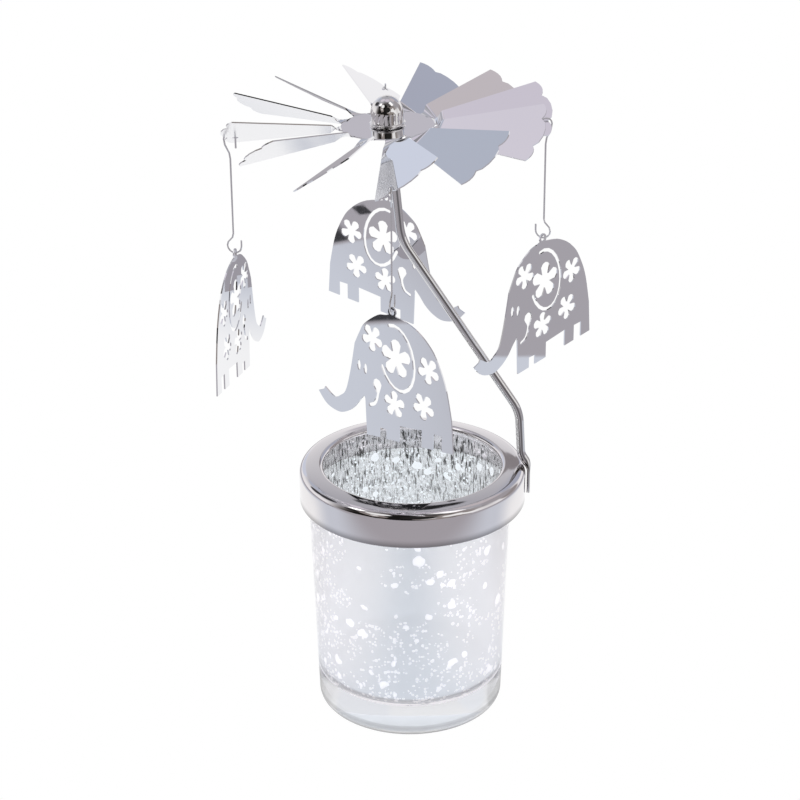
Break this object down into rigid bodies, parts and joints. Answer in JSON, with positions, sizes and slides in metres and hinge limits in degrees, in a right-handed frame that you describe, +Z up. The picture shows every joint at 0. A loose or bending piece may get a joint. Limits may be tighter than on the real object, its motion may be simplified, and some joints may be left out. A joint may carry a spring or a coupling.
{
  "type": "rotating candle holder",
  "caption": "Glass candle cup with a metal collar and a bent mast that carries a fan wheel, turned by the flame's warm air, with pierced elephants hanging from it on wires.",
  "frame": {"origin": "centre of the cup's underside, on the table", "axes": "+Z up along the cup's axis, +X to the right towards the mast's foot, +Y away from the viewer of the picture"},
  "size_m": [0.0933, 0.0994, 0.1652],
  "materials": {
    "silvered_glass": "clear glass with a speckled silver coating inside",
    "collar_steel": "satin turned",
    "polished_rod": "polished",
    "mirror_sheet": "mirror polished sheet",
    "hanger_wire": "bright drawn wire"
  },
  "bodies": {
    "cup": {"glass_cup": "silvered_glass"},
    "collar": {"collar_ring": "collar_steel", "mast": "polished_rod"},
    "carousel": {"fan_wheel": "mirror_sheet", "bearing_cap": "polished_rod"},
    "hanger_right": {"hanger_wire_right": "hanger_wire"},
    "elephant_right": {"elephant_right": "mirror_sheet"},
    "hanger_back": {"hanger_wire_back": "hanger_wire"},
    "elephant_back": {"elephant_back": "mirror_sheet"},
    "hanger_left": {"hanger_wire_left": "hanger_wire"},
    "elephant_left": {"elephant_left": "mirror_sheet"},
    "hanger_front": {"hanger_wire_front": "hanger_wire"},
    "elephant_front": {"elephant_front": "mirror_sheet"}
  },
  "joints": [
    {"name": "collar_lift", "type": "slide", "parent": "cup", "child": "collar", "axis": [0, 0, 1], "range_m": [0, 0.03]},
    {"name": "carousel_spin", "type": "hinge", "parent": "collar", "child": "carousel", "pos_m": [-0.005, 0, 0.1619], "axis": [0, 0, 1], "continuous": true},
    {"name": "hanger_swing_right", "type": "hinge", "parent": "carousel", "child": "hanger_right", "pos_m": [0.03178, 0.00097, 0.15799], "axis": [0.0262, -0.9997, 0], "range_deg": [-2, 20]},
    {"name": "elephant_turn_right", "type": "hinge", "parent": "hanger_right", "child": "elephant_right", "pos_m": [0.03299, 0.00106, 0.12834], "axis": [0, 0, 1], "range_deg": [-1, 65]},
    {"name": "hanger_swing_back", "type": "hinge", "parent": "carousel", "child": "hanger_back", "pos_m": [-0.00576, 0.03659, 0.15591], "axis": [0.9998, 0.0208, 0], "range_deg": [-2, 20]},
    {"name": "elephant_turn_back", "type": "hinge", "parent": "hanger_back", "child": "elephant_back", "pos_m": [-0.00585, 0.0378, 0.12626], "axis": [0, 0, 1], "range_deg": [-6, 55]},
    {"name": "hanger_swing_left", "type": "hinge", "parent": "carousel", "child": "hanger_left", "pos_m": [-0.04141, -0.00096, 0.15516], "axis": [-0.0264, 0.9997, 0], "range_deg": [-2, 20]},
    {"name": "elephant_turn_left", "type": "hinge", "parent": "hanger_left", "child": "elephant_left", "pos_m": [-0.04262, -0.00106, 0.12551], "axis": [0, 0, 1], "range_deg": [-21, 33]},
    {"name": "hanger_swing_front", "type": "hinge", "parent": "carousel", "child": "hanger_front", "pos_m": [-0.00381, -0.03641, 0.15421], "axis": [-0.9995, -0.0328, 0], "range_deg": [0, 20]},
    {"name": "elephant_turn_front", "type": "hinge", "parent": "hanger_front", "child": "elephant_front", "pos_m": [-0.0037, -0.03762, 0.12456], "axis": [0, 0, 1], "range_deg": [0, 65]}
  ]
}
